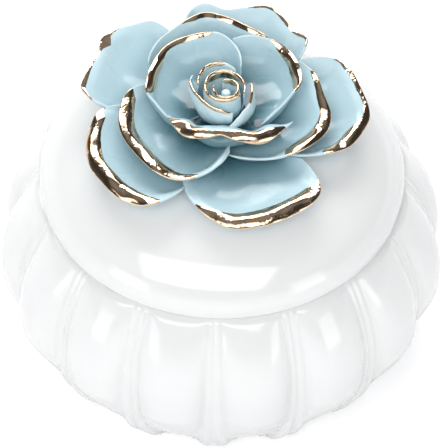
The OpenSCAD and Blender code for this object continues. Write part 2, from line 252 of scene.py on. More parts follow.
def cavity_line(z):
    return min(float(rib_line(z)) - valley_depth, float(lobe_line(z))) - bowl_wall


def fluted_radius(x, half_pitch, z):
    """Radius of the bowl at height z, x millimetres along the wall from the middle of a rib."""
    rib = rib_line(z)
    widening = (1 - z / bowl_height) ** rib_taper
    width = rib_half_width_top + (rib_half_width_foot - rib_half_width_top) * widening
    valley = rib - valley_depth
    start = lobe_start * width
    share = np.clip((x - start) / (half_pitch - start), 0, 1)
    swell = (1 - (1 - share) ** lobe_power) ** lobe_fullness
    lobe = valley + (lobe_line(z) - valley) * swell
    groove = rib_groove * np.exp(-((x / (groove_share * width)) ** 2))
    bead = np.maximum(rib - groove - valley_depth * (x / width) ** 4, valley - 1)
    h = np.clip(0.5 + 0.5 * (bead - lobe) / glaze_fill, 0, 1)
    filled = lobe + (bead - lobe) * h + glaze_fill * h * (1 - h)
    return np.where(x > bead_reach * width, lobe, filled)


def flute_places():
    """Angles round the bowl, and how far each is from its rib as a share of half a flute."""
    near = np.linspace(0, 1, flute_columns + 1) ** column_crowding
    share = np.concatenate([near, near[-2:0:-1]])
    step = np.concatenate([near, 2 - near[-2:0:-1]]) * 180 / lobes
    angles = np.concatenate([step + k * 360 / lobes for k in range(lobes)]) - 90
    return np.radians(angles), np.tile(share, lobes)


def ring_of(angles, radius, z):
    radius = np.broadcast_to(radius, angles.shape)
    return np.stack([radius * np.cos(angles), radius * np.sin(angles), np.full_like(angles, z)], -1)


def rounded_corner(radius, z, size, start, end, steps=5):
    """Radius and height along a quarter round whose centre is (radius, z)."""
    turn = np.radians(np.linspace(start, end, steps))
    return [(radius + size * math.cos(t), z + size * math.sin(t)) for t in turn]


def skin(name, rings, ends="point"):
    """Closed smooth skin through rings of points in millimetres, all running the same way."""
    rings = np.asarray(rings, float) * MM
    count, around = rings.shape[:2]
    points = rings.reshape(-1, 3)
    low = np.arange((count - 1) * around).reshape(count - 1, around)
    beside = np.roll(low, -1, axis=1)
    faces = np.stack([low, beside, beside + around, low + around], -1).reshape(-1, 4).tolist()
    last = (count - 1) * around
    if ends == "point":
        points = np.vstack([points, rings[0].mean(0), rings[-1].mean(0)])
        for i in range(around):
            j = (i + 1) % around
            faces.append((count * around, j, i))
            faces.append((count * around + 1, last + i, last + j))
    else:
        for k in range(around // 2 - 1):
            across = around - 1 - k
            faces.append((k, across, across - 1, k + 1))
            faces.append((last + k, last + k + 1, last + across - 1, last + across))
    mesh = bpy.data.meshes.new(name)
    mesh.from_pydata(points.tolist(), [], faces)
    mesh.polygons.foreach_set("use_smooth", [True] * len(mesh.polygons))
    mesh.update()
    thing = bpy.data.objects.new(name, mesh)
    scene.collection.objects.link(thing)
    return thing


def mark(thing, name, values):
    """Stores a number a vertex, such as its distance from an edge, for the material to read."""
    values = np.asarray(values, np.float32).ravel()
    spare = np.full(len(thing.data.vertices) - len(values), values[-1:], np.float32)
    layer = thing.data.attributes.new(name, "FLOAT", "POINT")
    layer.data.foreach_set("value", np.concatenate([values, spare]))


def bowl_rings():
    angles, share = flute_places()
    rings, bare = [], []

    def add(radius, z, unglazed=0.0):
        rings.append(ring_of(angles, radius, z))
        bare.append(np.full(len(angles), unglazed))

    ring_inside = foot_lobe_radius - foot_ring_width
    for radius in np.linspace(2, ring_inside - 1, 14):
        add(radius, foot_recess)
    for radius, z in rounded_corner(ring_inside - 0.7, foot_recess - 0.7, 0.7, 90, 0):
        add(radius, z)
    add(ring_inside, 0.3, 0.6)
    add(ring_inside + 0.3, 0.0, 1.0)
    foot_pitch = math.pi * rib_line(0.0) / lobes
    outline = fluted_radius(share * foot_pitch, foot_pitch, np.zeros_like(share))
    for inset in (2.4, 1.2, 0.5):
        add(outline - inset, 0.0, 1.0 if inset > 1 else 0.7)
    steps = np.linspace(0, 1, bowl_rows)
    heights = bowl_height * (steps - row_crowding * np.sin(2 * math.pi * steps) / 2)
    for z in heights[:-1]:
        half_pitch = math.pi * rib_line(z) / lobes
        wall = fluted_radius(share * half_pitch, half_pitch, np.full_like(share, z))
        near_foot = 1 - np.clip(z / foot_round_height, 0, 1)
        near_top = 1 - np.clip((bowl_height - z) / shoulder_round_height, 0, 1)
        tuck = foot_round * near_foot**2 + shoulder_round * near_top**2
        add(wall - tuck, z + 0.02)
    half_pitch = math.pi * rib_line(bowl_height) / lobes
    shoulder = fluted_radius(share * half_pitch, half_pitch, np.full_like(share, bowl_height))
    for k in (0.8, 0.5, 0.2):
        add(mouth_radius + 0.6 + (shoulder - mouth_radius - 0.6) * k, bowl_height)
    for radius, z in rounded_corner(mouth_radius + 0.5, bowl_height - 0.5, 0.5, 90, 180):
        add(radius, z)
    bottom = cavity_floor + cavity_corner
    top = bowl_height - mouth_depth - 2
    add(mouth_radius, bowl_height - mouth_depth)
    for t in np.linspace(1, 0, cavity_rows):
        z = bottom + (top - bottom) * t
        deep = cavity_line(z)
        add(min(deep, deep + (mouth_radius - deep) * t**cavity_neck_power), z)
    side = cavity_line(bottom)
    for radius, z in rounded_corner(side - cavity_corner, bottom, cavity_corner, 0, -90, 10)[1:]:
        add(radius, z)
    for radius in np.linspace(side - cavity_corner - 2, 2, 14):
        add(radius, cavity_floor)
    return rings, bare


def new_group(name, ins, outs):
    """An effect group with named sockets, and its two ends."""
    group = bpy.data.node_groups.new(name, "ShaderNodeTree")
    for socket, kind, value in ins:
        made = group.interface.new_socket(socket, in_out="INPUT", socket_type=kind)
        if value is not None:
            made.default_value = value
    for socket, kind in outs:
        group.interface.new_socket(socket, in_out="OUTPUT", socket_type=kind)
    return group, group.nodes.new("NodeGroupInput"), group.nodes.new("NodeGroupOutput")


def maths(tree, operation, a, b, third=None, clamp=False):
    """A Math node whose inputs are sockets or numbers; returns its result."""
    node = add_node(tree, "ShaderNodeMath", operation=operation, use_clamp=clamp)
    for socket, value in zip(node.inputs, (a, b, third)):
        if isinstance(value, bpy.types.NodeSocket):
            tree.links.new(value, socket)
        elif value is not None:
            socket.default_value = value
    return node.outputs[0]


def noise(tree, vector, scale, detail=2.0, roughness=0.5):
    node = add_node(tree, "ShaderNodeTexNoise", Detail=detail, Roughness=roughness)
    tree.links.new(vector, node.inputs["Vector"])
    if isinstance(scale, bpy.types.NodeSocket):
        tree.links.new(scale, node.inputs["Scale"])
    else:
        node.inputs["Scale"].default_value = scale
    return node.outputs["Fac"]


def blend_colour(tree, factor, first, second):
    node = add_node(tree, "ShaderNodeMix", data_type="RGBA")
    tree.links.new(factor, node.inputs[0])
    for socket, value in ((node.inputs[6], first), (node.inputs[7], second)):
        if isinstance(value, bpy.types.NodeSocket):
            tree.links.new(value, socket)
        else:
            socket.default_value = (*value, 1)
    return node.outputs[2]


def glaze_skin_group():
    """Fired glaze: slow ripples, a fine orange peel, rare pinholes, drifts of tone and gloss."""
    group, given, out = new_group(
        "glaze_skin",
        [("Place", "NodeSocketVector", None), ("Ripple", "NodeSocketFloat", 90.0),
         ("Peel", "NodeSocketFloat", 900.0), ("Pinholes", "NodeSocketFloat", 0.4)],
        [("Height", "NodeSocketFloat"), ("Tone", "NodeSocketFloat"), ("Gloss", "NodeSocketFloat"),
         ("Pit", "NodeSocketFloat")],
    )
    place = given.outputs["Place"]
    slow = noise(group, place, given.outputs["Ripple"], 1.0)
    peel = noise(group, place, given.outputs["Peel"], 2.0)
    cells = add_node(group, "ShaderNodeTexVoronoi", "pinholes", Scale=260, Randomness=1)
    group.links.new(place, cells.inputs["Vector"])
    hole = maths(group, "LESS_THAN", cells.outputs["Distance"], 0.055)
    pick = add_node(group, "ShaderNodeSeparateColor")
    group.links.new(cells.outputs["Color"], pick.inputs[0])
    few = maths(group, "LESS_THAN", pick.outputs[0], 0.12)
    pit = maths(group, "MULTIPLY", maths(group, "MULTIPLY", hole, few), given.outputs["Pinholes"])
    bumps = maths(group, "MULTIPLY_ADD", peel, 0.07, slow)
    group.links.new(maths(group, "SUBTRACT", bumps, pit), out.inputs["Height"])
    group.links.new(noise(group, place, 34.0, 3.0), out.inputs["Tone"])
    group.links.new(noise(group, place, 120.0, 2.0), out.inputs["Gloss"])
    group.links.new(pit, out.inputs["Pit"])
    return group


glaze_skin = glaze_skin_group()


def place_group(tree, group, **values):
    node = add_node(tree, "ShaderNodeGroup", group.name)
    node.node_tree = group
    for name, value in values.items():
        node.inputs[name].default_value = value
    return node


def fresh_material(name):
    material = bpy.data.materials.new(name)
    material.use_nodes = True
    tree = material.node_tree
    here = add_node(tree, "ShaderNodeTexCoord")
    return material, tree, tree.nodes["Principled BSDF"], here.outputs["Object"]


def bump(tree, height, distance, strength, before=None):
    node = add_node(tree, "ShaderNodeBump", Strength=strength, Distance=distance)
    tree.links.new(height, node.inputs["Height"])
    if before is not None:
        tree.links.new(before, node.inputs["Normal"])
    return node.outputs[0]


def read_mark(tree, name):
    return add_node(tree, "ShaderNodeAttribute", name, attribute_name=name).outputs["Fac"]


def white_porcelain(name, ripple):
    """White glazed porcelain, and matt cream biscuit where the foot ring is wiped bare."""
    material, tree, body, here = fresh_material(name)
    glaze = place_group(tree, glaze_skin, Ripple=ripple, Peel=850.0, Pinholes=0.35)
    tree.links.new(here, glaze.inputs["Place"])
    white = blend_colour(tree, glaze.outputs["Tone"], glaze_cool, glaze_warm)
    pitted = blend_colour(tree, glaze.outputs["Pit"], white, pinhole_brown)
    bare = read_mark(tree, "bare")
    wiped = maths(tree, "SUBTRACT", bare, 0.25)
    worn = maths(tree, "MULTIPLY_ADD", noise(tree, here, 700.0, 3.0), 0.5, wiped, True)
    edge = add_node(tree, "ShaderNodeMapRange", "wiped edge", interpolation_type="SMOOTHSTEP")
    edge.inputs["From Min"].default_value = 0.45
    edge.inputs["From Max"].default_value = 0.6
    tree.links.new(worn, edge.inputs["Value"])
    biscuit = blend_colour(tree, noise(tree, here, 1500.0, 4.0), biscuit_dark, biscuit_light)
    tree.links.new(blend_colour(tree, edge.outputs[0], pitted, biscuit), body.inputs["Base Color"])
    shine = maths(tree, "MULTIPLY_ADD", glaze.outputs["Gloss"], 0.06, 0.07)
    tree.links.new(maths(tree, "MULTIPLY_ADD", edge.outputs[0], 0.6, shine), body.inputs["Roughness"])
    tree.links.new(maths(tree, "SUBTRACT", 1.0, edge.outputs[0]), body.inputs["Coat Weight"])
    body.inputs["Coat Roughness"].default_value = 0.12
    body.inputs["IOR"].default_value = 1.52
    tree.links.new(bump(tree, glaze.outputs["Height"], 0.00025, 0.35), body.inputs["Normal"])
    return material


def make_bowl():
    rings, bare = bowl_rings()
    bowl = skin("fluted_bowl", rings)
    mark(bowl, "bare", bare)
    bowl.data.materials.append(white_porcelain("porcelain_bowl", 70.0))
    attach(bowl, "bowl")
    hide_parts("bowl")


make_bowl()

# ---------------------------------------------------------------- lid
# A pressed porcelain dome with an upright rim band, hollow underneath, with a ring inside
# the rim that drops into the mouth of the bowl and keeps the lid from sliding off.
pad_sink = 0.25
dome_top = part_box("rose_base")[0].z / MM + pad_sink
lid_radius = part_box("lid")[1].x / MM
rim_height = 2.0
lid_wall = 3.0
locating_depth = 3.6
locating_wall = 2.6
locating_gap = 0.8
seat_gap = 0.3
lid_base = bowl_height + seat_gap
dome_base = lid_base + rim_height
dome_rise = dome_top - dome_base
dome_squareness = 2.4
dome_fullness = 1.9
lid_columns = 256


def dome_height(r, width, rise):
    inward = 1 - np.clip(r / width, 0, 1) ** dome_squareness
    return rise * np.clip(inward, 0, 1) ** (1 / dome_fullness)


def lid_profile():
    ring_outer = mouth_radius - locating_gap
    ring_inner = ring_outer - locating_wall
    hollow_rise = dome_rise - lid_wall + rim_height
    low = lid_base - locating_depth
    hollow = [ring_inner * math.sin(t) for t in np.radians(np.linspace(3, 89.5, 34))]
    line = [(r, lid_base + float(dome_height(r, ring_inner, hollow_rise))) for r in hollow]
    line += [(ring_inner, lid_base - 1.0), (ring_inner, low + 0.4)]
    line += rounded_corner(ring_inner + 0.4, low + 0.4, 0.4, 180, 270)
    line += rounded_corner(ring_outer - 0.6, low + 0.6, 0.6, 270, 360)
    line += [(ring_outer, lid_base - 0.5)]
    line += [(ring_outer + 0.15, lid_base - 0.13), (ring_outer + 0.5, lid_base)]
    line += rounded_corner(lid_radius - 0.7, lid_base + 0.7, 0.7, 270, 360, 7)
    line += [(lid_radius, lid_base + 1.2)]
    for t in np.radians(np.linspace(89.5, 3, 60)):
        r = lid_radius * math.sin(t)
        line.append((r, dome_base + float(dome_height(r, lid_radius, dome_rise))))
    return line


def make_lid():
    angles = np.linspace(0, 2 * math.pi, lid_columns, endpoint=False)
    lid = skin("domed_lid", [ring_of(angles, r, z) for r, z in lid_profile()])
    mark(lid, "bare", [0.0])
    lid.data.materials.append(white_porcelain("porcelain_lid", 45.0))
    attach(lid, "lid")
    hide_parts("lid")


make_lid()

# ---------------------------------------------------------------- clay pad
# The low cone of clay that the rose is built on. It is stuck to the dome with slip, and
# the slip squeezes out as a small soft bead round its foot.
pad_low, pad_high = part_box("rose_base")
pad_radius = pad_high.x / MM
pad_height = pad_high.z / MM - dome_top
pad_top_radius = 5.0
outer_root = 1.9
middle_root = 3.7
inner_root = 4.9
bud_root = pad_height - 0.6
scroll_root = pad_height - 0.3
# Distances in millimetres that stand for no gold and no edge anywhere near.
off_gold = -9.0
off_edge = 9.0
broken_glaze = (0.74, 0.84, 0.87)
gold_dark = (0.90, 0.62, 0.40)
gold_light = (0.98, 0.81, 0.61)
gold_lump_height = 0.0036
gold_lump_strength = 0.7


def gold_edge_group():
    """Lustre brushed along a rim by hand: its ragged inner line, its lumps, its drifts of tone."""
    group, given, out = new_group(
        "gold_edge",
        [("Place", "NodeSocketVector", None), ("Gilt", "NodeSocketFloat", 0.0),
         ("Raggedness", "NodeSocketFloat", 0.6), ("Lump", "NodeSocketFloat", 700.0)],
        [("Mask", "NodeSocketFloat"), ("Height", "NodeSocketFloat"), ("Tone", "NodeSocketFloat")],
    )
    place = given.outputs["Place"]
    ragged = maths(group, "SUBTRACT", noise(group, place, 420.0, 3.0, 0.6), 0.5)
    line = maths(group, "MULTIPLY_ADD", ragged, given.outputs["Raggedness"], given.outputs["Gilt"])
    painted = add_node(group, "ShaderNodeMapRange", "brush line", interpolation_type="SMOOTHSTEP")
    painted.inputs["From Min"].default_value = -0.02
    painted.inputs["From Max"].default_value = 0.03
    group.links.new(line, painted.inputs["Value"])
    group.links.new(painted.outputs[0], out.inputs["Mask"])
    drifts = noise(group, place, 260.0, 2.0)
    patch = add_node(group, "ShaderNodeMapRange", "flecked patches", interpolation_type="SMOOTHSTEP")
    patch.inputs["From Min"].default_value = 0.50
    patch.inputs["From Max"].default_value = 0.60
    group.links.new(drifts, patch.inputs["Value"])
    flecks = maths(group, "MULTIPLY", noise(group, place, 1500.0, 2.0), patch.outputs[0])
    waves = noise(group, place, given.outputs["Lump"], 1.0, 0.5)
    group.links.new(maths(group, "MULTIPLY_ADD", flecks, 0.03, waves), out.inputs["Height"])
    group.links.new(drifts, out.inputs["Tone"])
    return group


gold_edge = gold_edge_group()


def rose_glaze(name, thin, thick, deep):
    """Pale blue glaze, darker where it pools and with painted shade in its hollows, pale where it breaks on
    a rim, under the gold.
    """
    material, tree, body, here = fresh_material(name)
    glaze = place_group(tree, glaze_skin, Ripple=190.0, Peel=1500.0, Pinholes=0.25)
    tree.links.new(here, glaze.inputs["Place"])
    # Painted shade: the pool mark stands both for glaze pooled deep in the cup and for the shade there. It
    # darkens the glaze towards each root and on the undersides.
    pool_and_shade = read_mark(tree, "pool_and_shade")
    gathered = maths(tree, "MULTIPLY_ADD", pool_and_shade, 1.3, -0.12)
    drift = maths(tree, "MULTIPLY_ADD", glaze.outputs["Tone"], 0.25, gathered, True)
    washed = blend_colour(tree, drift, thin, thick)
    sunk = maths(tree, "POWER", pool_and_shade, 1.9)
    # Painted shade: the deep colour, reached where the pool mark is high, is shade rather than a glaze
    # colour.
    blue = blend_colour(tree, sunk, washed, deep)
    rim = add_node(tree, "ShaderNodeMapRange", "glaze breaks pale", interpolation_type="SMOOTHSTEP")
    rim.inputs["From Min"].default_value = 0.1
    rim.inputs["From Max"].default_value = 0.7
    rim.inputs["To Min"].default_value = 0.25
    rim.inputs["To Max"].default_value = 0.0
    tree.links.new(read_mark(tree, "edge_mm"), rim.inputs["Value"])
    broken = blend_colour(tree, rim.outputs[0], blue, broken_glaze)
    gold = place_group(tree, gold_edge, Raggedness=0.6, Lump=110.0)
    tree.links.new(here, gold.inputs["Place"])
    tree.links.new(read_mark(tree, "gilt_mm"), gold.inputs["Gilt"])
    metal = blend_colour(tree, gold.outputs["Tone"], gold_dark, gold_light)
    coloured = blend_colour(tree, gold.outputs["Mask"], broken, metal)
    tree.links.new(coloured, body.inputs["Base Color"])
    tree.links.new(gold.outputs["Mask"], body.inputs["Metallic"])
    shine = maths(tree, "MULTIPLY_ADD", glaze.outputs["Gloss"], 0.16, 0.20)
    smoother = maths(tree, "MULTIPLY_ADD", gold.outputs["Mask"], -0.14, shine)
    tree.links.new(smoother, body.inputs["Roughness"])
    bare = maths(tree, "SUBTRACT", 1.0, gold.outputs["Mask"])
    tree.links.new(maths(tree, "MULTIPLY", bare, 0.35), body.inputs["Coat Weight"])
    body.inputs["Coat Roughness"].default_value = 0.06
    body.inputs["IOR"].default_value = 1.5
    skin_bump = bump(tree, glaze.outputs["Height"], 0.0002, 0.35)
    lumps = maths(tree, "MULTIPLY", gold.outputs["Height"], gold.outputs["Mask"])
    lumpy = bump(tree, lumps, gold_lump_height, gold_lump_strength, skin_bump)
    tree.links.new(lumpy, body.inputs["Normal"])
    return material


# Each glaze runs from its thin colour to its thick one as it pools. Its third colour is painted shade for
# hollows, roots and undersides.
petal_glaze = rose_glaze("petal_glaze", (0.60, 0.80, 0.87), (0.19, 0.385, 0.455), (0.006, 0.045, 0.06))
# Painted light: the bud's glaze is paler than the petals' glaze, and its colours, the deep one most of all,
# are lifted further to offset the shade the bud sits in.
bud_glaze = rose_glaze("bud_glaze", (0.72, 0.89, 0.94), (0.64, 0.84, 0.90), (0.50, 0.72, 0.79))


def join_lid(thing, node, material):
    thing.data.materials.append(material)
    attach(thing, "lid")
    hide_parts(node)


def make_pad():
    angles = np.linspace(0, 2 * math.pi, 96, endpoint=False)
    foot = pad_low.z / MM
    line = [(r, foot) for r in (2, 4, 6, pad_radius - 0.2)]
    line += rounded_corner(pad_radius - 0.1, dome_top + 0.15, 0.35, -80, 70, 7)
    top = dome_top + pad_height
    line += [(pad_radius - 0.25, dome_top + 0.9), (6.32, dome_top + 3), (5.3, top - 1.2)]
    line += rounded_corner(pad_top_radius - 0.8, top - 0.8, 0.8, 10, 90)
    line += [(r, top) for r in (3.2, 2, 1)]
    rings = []
    for (r, z), k in zip(line, np.linspace(0, 2, len(line))):
        smear = 0.12 * np.sin(5 * angles + k) + 0.08 * np.sin(11 * angles + 2 * k)
        rings.append(ring_of(angles, r + smear, z))
    pad = skin("clay_pad", rings)
    # Painted shade: the pad sits under the petals and is coloured almost the deep shade colour.
    mark(pad, "pool_and_shade", [0.9])
    mark(pad, "edge_mm", [off_edge])
    mark(pad, "gilt_mm", [off_gold])
    join_lid(pad, "rose_base", petal_glaze)


make_pad()

# ---------------------------------------------------------------- open petals
# Eleven petals of porcelain clay, each pinched thin between finger and thumb, its lip
# rolled over, and pressed to the pad with slip: five outer, three middle, three inner.
petal_thickness = 1.1
rim_thickness = 0.6
petal_pull = 0.38
petal_columns = 84
blade_rows = 30
lip_rows = 14
hand_reach = 0.12
hand_height = 0.10
thumb_depth = 0.10
side_thinning = 0.45
side_thinning_width = 3.0
side_round = 0.5
thinnest_side = 0.12
flattened_side = 4
gold_over_nose = 1.0
gold_underneath = 0.45
# Painted shade laid on the underside of every petal and strip, as the least value of its pool mark.
shade_underneath = 0.35

# The petal at the front of the cup is folded over deeply and bellies out below its fold.
# Glaze and gold fatten the lips of the others: wider, less curled, with a wider stroke.
folded_petal = "inner_petal_3"
front_belly = 4.2
lip_spread = 1.35
lip_ease = 0.78
brush_spread = 1.3

# Each petal has the slope it leaves the pad at, the slope it reaches its rim at, the length
# of its lip, its rim and its stroke of gold. A place on the rim is direction, distance from
# the axis, height above the dome and curl of the lip; one on the stroke is direction and
# width. Angles are in degrees, and both lists run anticlockwise seen from above.
outer_petals = {
    "outer_petal_1": (3, 35, 2.6, [
        (-37, 19, 4.4, 10), (-21, 28, 6.4, 50), (-12, 31.5, 7.7, 90), (0, 34, 9.1, 90), (6, 34, 9.6, 70),
        (16, 33, 10, 50), (26, 32.5, 10.3, 30), (34, 30, 9.8, 20), (42, 24, 8.1, 10)],
        [(-26, 0), (-19, 2.6), (-8, 3.1), (1, 1.3), (8, 0.8), (27, 0.7), (33, 0)]),
    "outer_petal_2": (5, 40, 2.4, [
        (44, 24, 8.1, 0), (49, 29, 10.5, 10), (57, 29, 11, 20), (65, 31, 12.2, 30), (73, 33, 13, 30),
        (82, 31, 12.2, 20), (91, 30, 11.8, 10), (100, 32, 12.6, 0), (107, 31, 11.2, 0), (112, 26, 8.1, 0)],
        [(46, 0), (51, 0.4), (76, 0.4), (81, 0)]),
    "outer_petal_3": (7, 35, 2.4, [
        (118, 26, 8.1, 0), (124, 31.6, 11.4, 10), (133, 33.6, 12.2, 20), (142, 36, 13, 50),
        (152, 35, 11.9, 50), (162, 34, 10.9, 50), (170, 33.5, 9.7, 40), (174, 30, 7.4, 10),
        (178, 25, 5.6, 0)],
        [(137, 0), (142, 0.9), (145, 2.2), (149, 1.2), (155, 0.7), (170, 0.7), (174, 0)]),
    "outer_petal_4": (2, 28, 2.8, [
        (178, 23, 6.4, 0), (181, 28, 7.7, 30), (190, 31, 8.2, 90), (203, 33.4, 8.7, 100),
        (217, 33.6, 8, 100), (233, 32.8, 7.1, 90), (242, 30, 6.2, 40), (250, 24, 5.2, 10)],
        [(180, 0), (186, 2.3), (200, 3.2), (215, 3), (230, 3.1), (239, 2), (244, 0)]),
    "outer_petal_5": (-2, 20, 2.6, [
        (246, 20, 3.8, 0), (254, 24.4, 4.4, 10), (264, 28.6, 5.1, 50), (275, 31.8, 6.1, 90),
        (288, 32.3, 6.2, 90), (300, 32.3, 6.3, 90), (312, 32, 6.4, 80), (320, 29.8, 5.7, 30),
        (327, 22, 4.1, 0)],
        [(259, 0), (266, 1.8), (275, 3.1), (290, 3.5), (305, 3.4), (314, 2.9), (322, 0)]),
}
middle_petals = {
    "middle_petal_1": (9, 42, 2.6, [
        (-82, 13, 4.9, 0), (-60, 16.5, 5.5, 0), (-40, 20.5, 6.6, 30), (-26, 23, 7.5, 90),
        (-12, 25, 8.1, 100), (0, 25, 8.3, 90), (12, 23.5, 8.8, 60), (24, 23.5, 9.5, 30), (38, 22, 9.7, 0)],
        [(-43, 0), (-36, 2.2), (-20, 3.1), (0, 2), (15, 1), (24, 0.8), (29, 0)]),
    "middle_petal_2": (6, 60, 2, [
        (56, 20, 10.3, 0), (65, 22, 11.2, 30), (77, 23, 11.9, 40), (88, 25, 12.3, 50), (99, 27, 12.9, 50),
        (108, 26.6, 12.6, 40), (120, 24.8, 11.6, 20), (134, 23.2, 10.9, 0), (147, 21, 9.5, 0)],
        [(61, 0), (67, 0.7), (88, 1), (108, 0.8), (115, 0)]),
    "middle_petal_3": (2, 52, 2.8, [
        (162, 18, 8, 0), (171, 21.5, 9.1, 30), (184, 23.5, 9, 90), (200, 24.5, 8.7, 100),
        (217, 24, 7.7, 100), (235, 24.2, 7.2, 90), (250, 22.8, 6.7, 60), (262, 19.4, 6.4, 60),
        (272, 16.6, 6.6, 100), (280, 13.4, 6.2, 90)],
        [(170, 0), (177, 2.2), (195, 3.1), (215, 3.5), (238, 3.2), (250, 2.2), (258, 0)]),
}
inner_petals = {
    "inner_petal_1": (0, 70, 1.8, [
        (-28, 10, 6.2, 0), (-6, 12.6, 7.8, 0), (8, 16, 9.8, 20), (16, 18.5, 11.1, 70), (30, 20, 11.8, 90),
        (44, 20.5, 12.4, 70), (56, 19.7, 12.8, 30), (70, 18.4, 13, 10), (84, 16.8, 12.4, 10)],
        [(9, 0), (17, 2.3), (30, 2.5), (45, 1.7), (52, 0.9), (58, 0)]),
    "inner_petal_2": (0, 72, 1.8, [
        (66, 9, 11.2, 0), (80, 14, 12.1, 0), (92, 17, 12.9, 0), (103, 18.5, 13.1, 30),
        (116, 19, 12.7, 50), (130, 20, 12.1, 60), (146, 19.5, 11.3, 90), (162, 18.5, 10.6, 90),
        (174, 17.5, 10, 30), (184, 15, 8.1, 0), (200, 12.2, 6.4, 0)],
        [(99, 0), (106, 0.7), (136, 0.9), (146, 2.1), (160, 2.6), (170, 2.1), (177, 0)]),
    "inner_petal_3": (-5, 68, 5.6, [
        (200, 12.6, 8, 0), (212, 13.5, 9.3, 60), (232, 14, 9.8, 130), (254, 12.6, 9.9, 110),
        (270, 11.7, 9.9, 80), (288, 13.2, 9.9, 120), (308, 15.4, 9.7, 150), (324, 16.2, 9.6, 110),
        (341, 17, 8.9, 20)],
        [(206, 0), (213, 1.2), (228, 3.6), (246, 3.2), (260, 1.3), (274, 0.9), (290, 3.4), (312, 3.8),
         (325, 2), (333, 0)]),
}


def smooth_curve(places, t):
    """Catmull-Rom curve through the places, t from 0 to 1."""
    places = np.asarray(places, float)
    last = len(places) - 1
    x = np.clip(t, 0, 1) * last
    i = np.minimum(x.astype(int), last - 1)
    f = (x - i)[:, None]
    a, b = places[np.maximum(i - 1, 0)], places[i]
    c, d = places[i + 1], places[np.minimum(i + 2, last)]
    return 0.5 * (2 * b + (c - a) * f + (2 * a - 5 * b + 4 * c - d) * f**2 + (3 * b - a - 3 * c + d) * f**3)


def dome_fall(r):
    return dome_rise - dome_height(r, lid_radius, dome_rise)


def column_shares(columns):
    """Shares of the petal's sweep, crowded close to its two side edges."""
    edge = np.array([0, 0.0012, 0.003, 0.006, 0.010])
    return np.concatenate([edge, np.linspace(0.016, 0.984, columns), 1 - edge[::-1]])


def hand_wobble(seed, x, waves):
    """A slow uneven wave from -1 to 1, the same each time for the same petal."""
    chance = np.random.default_rng(seed)
    phase = chance.uniform(0, 2 * math.pi, len(waves))
    return sum(np.sin(w * x + p) for w, p in zip(waves, phase)) / len(waves)


def petal_face(root, leave, arrive, lip, rim, seed,
               centre=(0, 0), columns=petal_columns, wobble=1.0, belly=0):
    """Upper face of a petal as a grid of points, and the direction of each column."""
    share = column_shares(columns)
    direction, reach, height, curl = smooth_curve(rim, share).T
    reach = reach + wobble * hand_reach * hand_wobble(seed, share, (17, 31, 43))
    height = height - dome_fall(reach)
    height = height + wobble * hand_height * hand_wobble(seed + 50, share, (13, 29, 37))
    steps = (np.arange(lip_rows) + 0.5) / lip_rows
    turn = np.radians(arrive - curl[:, None] * steps)
    out = np.cumsum(np.cos(turn), axis=1) * lip / lip_rows
    up = np.cumsum(np.sin(turn), axis=1) * lip / lip_rows
    edge = np.stack([reach - np.maximum(out.max(1), 0), height - np.maximum(up.max(1), 0)], -1)
    start = np.broadcast_to(np.array(root, float), edge.shape)
    pull = petal_pull * np.linalg.norm(edge - start, axis=1)[:, None]
    a, b = math.radians(leave), math.radians(arrive)
    first = start + pull * (math.cos(a), math.sin(a))
    second = edge - pull * (math.cos(b), math.sin(b))
    v = np.linspace(0, 1, blade_rows + 1)[None, :, None]
    blade = ((1 - v) ** 3 * start[:, None] + 3 * (1 - v) ** 2 * v * first[:, None]
             + 3 * (1 - v) * v**2 * second[:, None] + v**3 * edge[:, None])
    swell = (np.sin(math.pi * v[..., 0]) ** 1.5) * (np.sin(math.pi * share) ** 2.5)[:, None]
    blade = blade + belly * swell[..., None] * (1, -0.15)
    rolled = edge[:, None] + np.stack([out, up], -1)
    cut = np.concatenate([blade, rolled], axis=1)
    angle = np.radians(direction)[:, None]
    face = np.stack([centre[0] + cut[..., 0] * np.cos(angle),
                     centre[1] + cut[..., 0] * np.sin(angle),
                     dome_top + cut[..., 1]], -1)
    return face, direction


def run_lengths(grid, axis):
    """Distance along the grid from its first row or column."""
    step = np.linalg.norm(np.diff(grid, axis=axis), axis=2)
    start = np.zeros_like(np.take(step, [0], axis=axis))
    return np.cumsum(np.concatenate([start, step], axis=axis), axis=axis)


